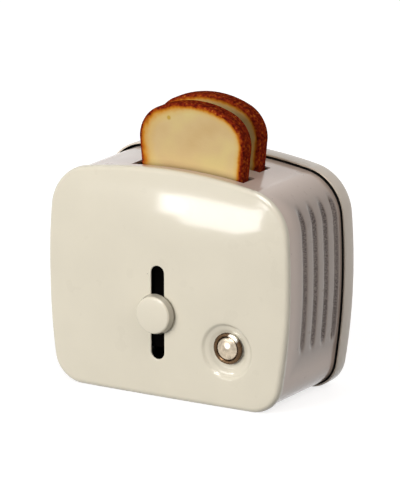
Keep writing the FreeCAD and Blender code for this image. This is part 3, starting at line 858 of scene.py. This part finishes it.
def fibre(name, colour):
    material, tree, shader = blank(name, {"Specular IOR Level": 0.0})
    strands = noise(tree, 0.4, 5.0, (1, 3, 1))
    tone = ramp(tree, strands, [(0.3, shaded(colour, 0.6)), (0.7, shaded(colour, 1.3))])
    tree.links.new(tone, shader.inputs["Base Color"])
    rough = ramp(tree, strands, [(0.3, (0.75,)), (0.7, (0.95,))])
    tree.links.new(rough, shader.inputs["Roughness"])
    tree.links.new(bump(tree, strands, 0.03), shader.inputs["Normal"])
    return material


def bread_paint(name):
    """Painted bread: pale crumb, an orange toasted line and a speckled red-brown crust.

    The front slice has a drop of paint, and both have a faint painted shadow where they meet their slots at
    rest.
    """
    material, tree, shader = blank(name, {"Specular IOR Level": 0.0})
    mark = add(tree, "Attribute", attribute_name="mark").outputs["Fac"]
    wobble = noise(tree, 1.3, 4.0)
    wobble = add(tree, "MapRange", {"Value": wobble, "From Min": 0.25, "From Max": 0.75,
                                    "To Min": -0.07, "To Max": 0.07}).outputs["Result"]
    edge = add(tree, "Math", {0: mark, 1: wobble}, operation="ADD").outputs["Value"]
    crumb = ramp(tree, noise(tree, 10.0, 2.0), [(0.35, (0.60, 0.42, 0.20)), (0.50, (0.64, 0.47, 0.235)),
                                                (0.65, (0.67, 0.53, 0.24))])
    toast = ramp(tree, edge, [(0.22, (0.42, 0.10, 0.008)), (0.34, (0.60, 0.26, 0.03)),
                              (0.62, (0.66, 0.44, 0.14))])
    face_share = ramp(tree, edge, [(0.32, (0.0,)), (0.95, (1.0,))])
    tone = mix(tree, face_share, toast, crumb)
    crust = ramp(tree, noise(tree, 0.7, 5.0), [(0.34, (0.080, 0.006, 0.004)), (0.48, (0.19, 0.016, 0.006)),
                                               (0.60, (0.29, 0.038, 0.007)), (0.70, (0.46, 0.13, 0.014))])
    crust_share = ramp(tree, edge, [(0.14, (1.0,)), (0.22, (0.0,))])
    tone = mix(tree, crust_share, tone, crust)
    place = add(tree, "TexCoord").outputs["Object"]
    drop = add(tree, "VectorMath", {0: place, 1: tuple(MM * c for c in PAINT_DROP)}, operation="DISTANCE")
    drop = add(tree, "MapRange", {"Value": drop.outputs["Value"], "From Min": PAINT_DROP_CORE * MM,
                                  "From Max": PAINT_DROP_RADIUS * MM, "To Min": 0.75,
                                  "To Max": 0.0}).outputs["Result"]
    tone = mix(tree, drop, tone, (0.50, 0.30, 0.02))
    # Painted shadow in a band just over the housing's top at rest, along the crown's curve; it rides with the
    # slice
    parts = add(tree, "SeparateXYZ", {"Vector": place})
    fall = add(tree, "Math", {0: parts.outputs["X"], 1: 2.0}, operation="POWER").outputs["Value"]
    above = add(tree, "Math", {0: fall, 1: 0.5 / (CROWN_RADIUS * MM), 2: parts.outputs["Z"]},
                operation="MULTIPLY_ADD").outputs["Value"]
    above = add(tree, "MapRange", {"Value": above, "From Min": (BAND_TOP - SLOT_SHADOW_REACH) * MM,
                                   "From Max": (BAND_TOP + SLOT_SHADOW_REACH) * MM})
    slot_shadow = ramp(tree, above.outputs["Result"], [(0.10, (0,)), (0.30, (0.30,)), (0.45, (0.24,)),
                                                  (0.85, (0,))])
    on_crumb = ramp(tree, crust_share, [(0.0, (1,)), (1.0, (0.1,))])
    tone = mix(tree, mix(tree, 1.0, slot_shadow, on_crumb, "MULTIPLY"), tone, (0.16, 0.085, 0.025))
    tree.links.new(tone, shader.inputs["Base Color"])
    gloss = ramp(tree, crust_share, [(0.0, (0.60,)), (1.0, (0.35,))])
    tree.links.new(gloss, shader.inputs["Roughness"])
    grain = bump(tree, noise(tree, 0.6, 4.0), 0.05)
    soft = bump(tree, noise(tree, 4.0, 2.0), 0.10, normal=grain)
    tree.links.new(soft, shader.inputs["Normal"])
    return material


def dress(names, material):
    """Gives kept CAD nodes a material."""
    for name in names:
        node = frame["nodes"][name]
        node.data.materials.clear()
        node.data.materials.append(material)
        node.data.shade_smooth()
        node.data.set_sharp_from_angle(angle=KEPT_SHARP_ANGLE)


# Camera, stage and light


def view_axes():
    """Right, up and back of the camera."""
    back = Vector((math.sin(AZIMUTH) * math.cos(ELEVATION), -math.cos(AZIMUTH) * math.cos(ELEVATION),
                   math.sin(ELEVATION)))
    right = Vector((math.cos(AZIMUTH), math.sin(AZIMUTH), 0))
    up = back.cross(right)
    rolled = right * math.cos(ROLL) + up * math.sin(ROLL)
    return rolled, back.cross(rolled), back


def camera():
    right, up, back = view_axes()
    level = Vector((math.cos(AZIMUTH), math.sin(AZIMUTH), 0))
    aim = Vector((AIM_X, FRONT_Y, AIM_HEIGHT)) + level * AIM_SIDE + back.cross(level) * AIM_UP
    data = bpy.data.cameras.new("camera")
    data.sensor_fit = "VERTICAL"
    data.sensor_height = SENSOR
    data.lens = FOCAL_PIXELS / PHOTO_HEIGHT * SENSOR
    data.clip_end = CLIP_END
    made = bpy.data.objects.new("camera", data)
    place = (aim + back * DISTANCE) * MM
    made.matrix_world = Matrix.Translation(place) @ Matrix((right, up, back)).transposed().to_4x4()
    bpy.context.scene.collection.objects.link(made)
    bpy.context.scene.camera = made


def area_light(name, place, target, width, height, power, colour):
    """Area light at a place, aimed at a target."""
    data = bpy.data.lights.new(name, "AREA")
    data.shape = "RECTANGLE"
    data.size = width
    data.size_y = height
    data.energy = power
    data.color = colour
    made = bpy.data.objects.new(name, data)
    place, target = Vector(place), Vector(target)
    made.location = place
    made.rotation_euler = (target - place).to_track_quat("-Z", "Y").to_euler()
    made.visible_camera = False
    bpy.context.scene.collection.objects.link(made)
    return made


def seen_share(tree):
    """1 for rays that come from the camera or from a mirror or lens, and 0 for the rest."""
    path = add(tree, "LightPath")
    seen = add(tree, "Math", {0: path.outputs["Is Camera Ray"], 1: path.outputs["Is Glossy Ray"]},
               operation="MAXIMUM").outputs["Value"]
    return add(tree, "Math", {0: seen, 1: path.outputs["Is Transmission Ray"]},
               operation="MAXIMUM").outputs["Value"]


def stage():
    """Pale floor that shows white to the camera and keeps the object's shadow."""
    mesh = bpy.data.meshes.new("floor")
    corners = [(-FLOOR_REACH, -FLOOR_REACH, 0), (FLOOR_REACH, -FLOOR_REACH, 0),
               (FLOOR_REACH, FLOOR_REACH, 0), (-FLOOR_REACH, FLOOR_REACH, 0)]
    mesh.from_pydata(corners, [], [(0, 1, 2, 3)])
    floor = bpy.data.objects.new("floor", mesh)
    bpy.context.scene.collection.objects.link(floor)
    material = bpy.data.materials.new("floor_white")
    material.use_nodes = True
    tree = material.node_tree
    tree.nodes.remove(tree.nodes["Principled BSDF"])
    shadowed = add(tree, "BsdfDiffuse", {"Color": (FLOOR_SHADOW,) * 3 + (1,)}).outputs["BSDF"]
    glow = add(tree, "Emission", {"Strength": FLOOR_GLOW}).outputs["Emission"]
    white = add(tree, "AddShader", {0: shadowed, 1: glow}).outputs["Shader"]
    plain = add(tree, "BsdfDiffuse", {"Color": (FLOOR_BOUNCE,) * 3 + (1,)}).outputs["BSDF"]
    surface = add(tree, "MixShader", {0: seen_share(tree), 1: plain, 2: white}).outputs["Shader"]
    tree.links.new(surface, tree.nodes["Material Output"].inputs["Surface"])
    material.cycles.emission_sampling = "NONE"
    mesh.materials.append(material)


def world():
    """White background for the camera and in reflections, and a softer fill for everything else."""
    made = bpy.data.worlds.new("world")
    bpy.context.scene.world = made
    made.use_nodes = True
    tree = made.node_tree
    background = tree.nodes["Background"]
    background.inputs["Color"].default_value = (1, 1, 1, 1)
    strength = add(tree, "MapRange", {"Value": seen_share(tree), "To Min": WORLD_FILL, "To Max": 1.0})
    tree.links.new(strength.outputs["Result"], background.inputs["Strength"])


def lights():
    """Softboxes that light the object, and glints that only show as highlights on it."""
    middle = Vector(MIDDLE)
    for name, towards, size, power, colour in SOFTBOXES:
        place = middle + Vector(towards).normalized() * SOFTBOX_DISTANCE
        area_light(name, place, middle, size, size, power, colour).visible_glossy = False
    for name, place, target, width, height, power in GLINTS:
        area_light(name, place, target, width, height, power, (1, 1, 1)).visible_diffuse = False


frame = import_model()
BAND_TOP = node_box("front_panel")[1][2]
FRONT_Y = node_box("front_panel")[0][1]

cream = enamel("cream_enamel", (0.765, 0.71, 0.58))
# The rear pan's cream is the pans' cream made darker as painted shade
rear_shade_cream = enamel("rear_cream_enamel", (0.72, 0.64, 0.54))
# The knob's cream is the pans' cream made lighter as painted light, with painted shade on its side wall and
# back
knob_light_and_shade_cream = enamel("knob_enamel", (0.785, 0.73, 0.60), painted_shade=[(0.62, (0.75,)), (0.76, (0,))])
# The band is the pans' cream made darker and greyer as painted shade, with more painted shade in a soft zone
# round the flutes
band_shade_cream = enamel("greige_enamel", (0.68, 0.548, 0.465), 0.78, [(0.0, (0,)), (0.2, (0.78,))], True)
# The inner skins' sheet is unpainted tin, made near black as painted shade in the gaps and openings
inside_and_gap_shade = dark_sheet("dull_tin_inside_and_gap_shade", (0.028, 0.024, 0.021))
tinplate = metal("tinplate", (0.62, 0.62, 0.60), 0.38, (1, 6, 1))
steel = metal("drawn_steel", (0.60, 0.60, 0.60), 0.28, (1, 1, 0.1))
rivet_metal = metal("rivet_metal", (0.70, 0.70, 0.71), 0.32)
brass = metal("turned_brass", (0.70, 0.50, 0.22), 0.30, (1, 1, 4))
# The steel and fibre behind the lever slot are near black with no reflection: their black finish, and painted
# shade in the slot
blackened_and_slot_shade = dark_sheet("blackened_steel", (0.003, 0.0025, 0.0025), 0.0)
black_fibre_and_slot_shade = fibre("black_fibre_and_slot_shade", (0.003, 0.0025, 0.0025))

dial_low, dial_high = node_box("dial_cap")
dial_centre = ((dial_low[0] + dial_high[0]) / 2, (dial_low[2] + dial_high[2]) / 2)
# The ring and the boss each get a painted highlight up and to the right of the stud's middle; it turns with
# the dial
stud_ring = stud("stud_ring", (0.125, 0.075, 0.040), 0.25, dial_centre, (0.96, 0.93, 0.86), 3.2, 1.5)
stud_boss = stud("stud_boss", (0.60, 0.51, 0.39), 0.28, dial_centre, (0.90, 0.86, 0.78), 0.9, 0.8)
knob_low, knob_high = node_box("lever_knob")
lever_x, lever_level = (knob_low[0] + knob_high[0]) / 2, (knob_low[2] + knob_high[2]) / 2
slot_end = STEM_RADIUS + LEVER_SLOT_END_PLAY
lever_slot = (lever_x, lever_level - LEVER_TRAVEL_DOWN - slot_end, lever_level + LEVER_TRAVEL_UP + slot_end,
              LEVER_SLOT_WIDTH)

pan("front_panel_skin", "front_panel", -1, [cream, inside_and_gap_shade], PILLOW_DEPTH, lever_slot,
    (dial_centre[0], dial_centre[1] - DIMPLE_DROP))
pan("rear_panel_skin", "rear_panel", 1, [rear_shade_cream, inside_and_gap_shade], 0.0)
band([band_shade_cream, inside_and_gap_shade])
knob(knob_light_and_shade_cream)
dial(stud_ring, stud_boss)
bread = bread_paint("painted_bread")
slice_of_bread("front_slice_skin", "front_slice", "front_bread", bread)
slice_of_bread("rear_slice_skin", "rear_slice", "rear_bread", bread)

dress(["base_plate", "rear_clips", "top_strap", "bread_tray"], tinplate)
dress(["guide_rod_left", "guide_rod_right"], steel)
dress(["base_rivets", "rod_collars", "tray_rivets", "dial_post", "dial_washer"], rivet_metal)
dress(["tray_bushes"], brass)
dress(["slide_plate", "lever_stem"], blackened_and_slot_shade)
dress(["friction_washer"], black_fibre_and_slot_shade)

bpy.context.scene.view_settings.view_transform = "Standard"
camera()
stage()
world()
lights()
